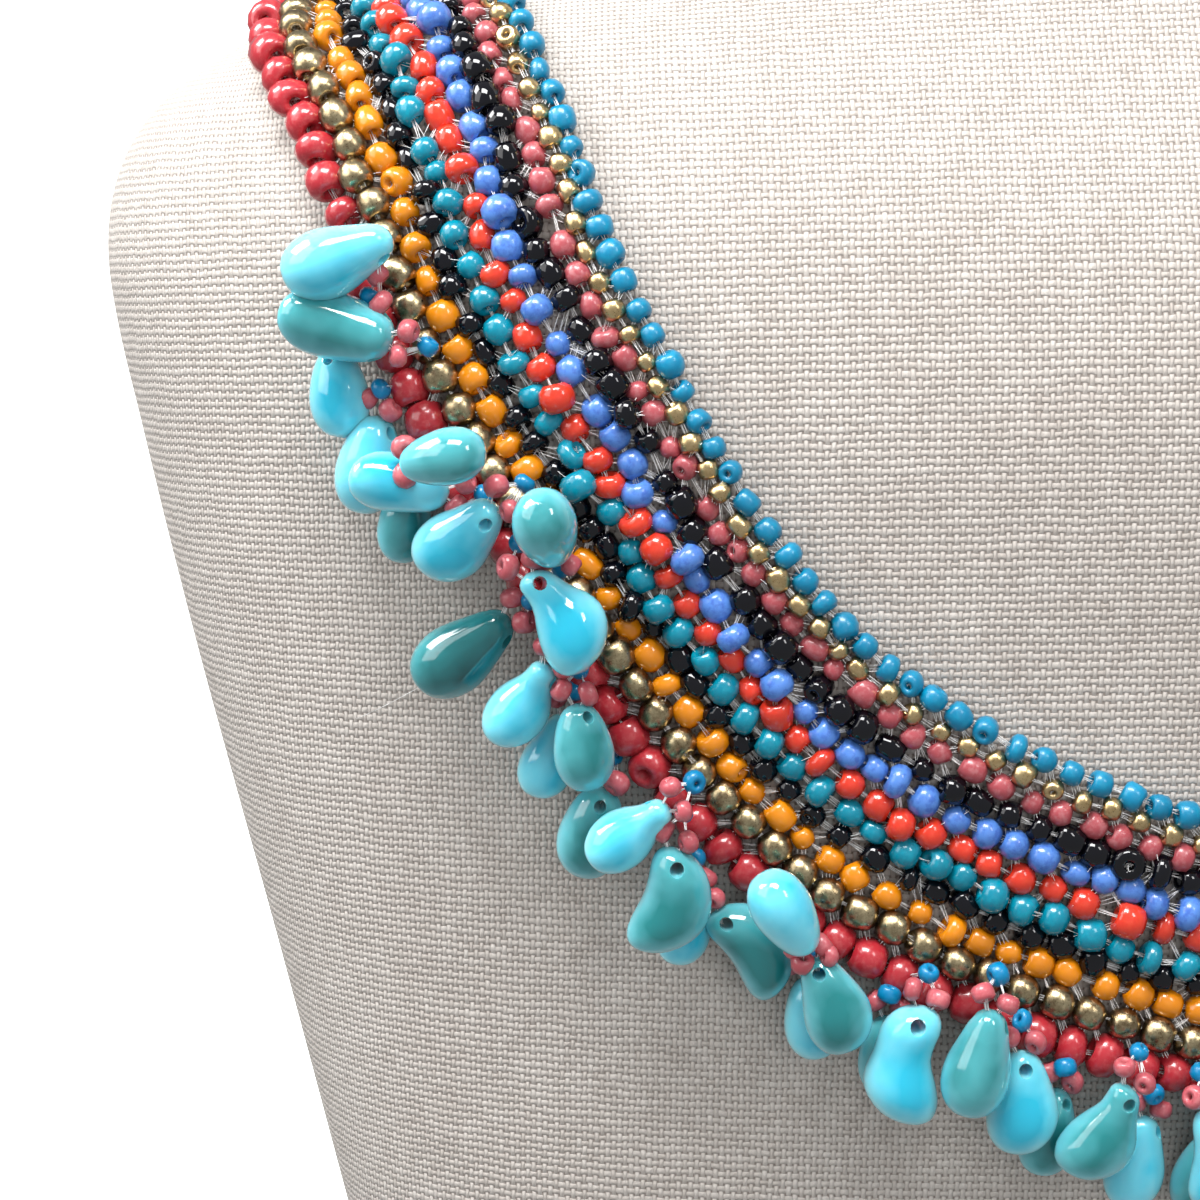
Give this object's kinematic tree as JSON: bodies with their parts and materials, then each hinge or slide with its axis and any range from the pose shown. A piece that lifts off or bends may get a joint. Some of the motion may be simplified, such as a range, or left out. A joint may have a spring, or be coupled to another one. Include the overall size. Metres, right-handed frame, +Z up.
{
  "type": "bib necklace on a neck bust",
  "caption": "Wide bib collar woven from rows of glass seed beads in many colours, with a fringe of turquoise glass drops, on a linen neck bust.",
  "frame": {"origin": "on the surface that the bust stands on, under the middle of the whole", "axes": "+Z up, the bust faces -Y, +X to the right as seen from the front"},
  "size_m": [0.228, 0.1028, 0.245],
  "materials": {
    "linen": "matt",
    "seed_beads": "gloss",
    "glass_drops": "gloss",
    "clasp_metal": "satin"
  },
  "bodies": {
    "root": {"bust_form": "linen", "woven_band": "seed_beads", "drop_fringe_left": "glass_drops", "drop_fringe_right": "glass_drops", "back_clasp": "clasp_metal"}
  },
  "joints": []
}
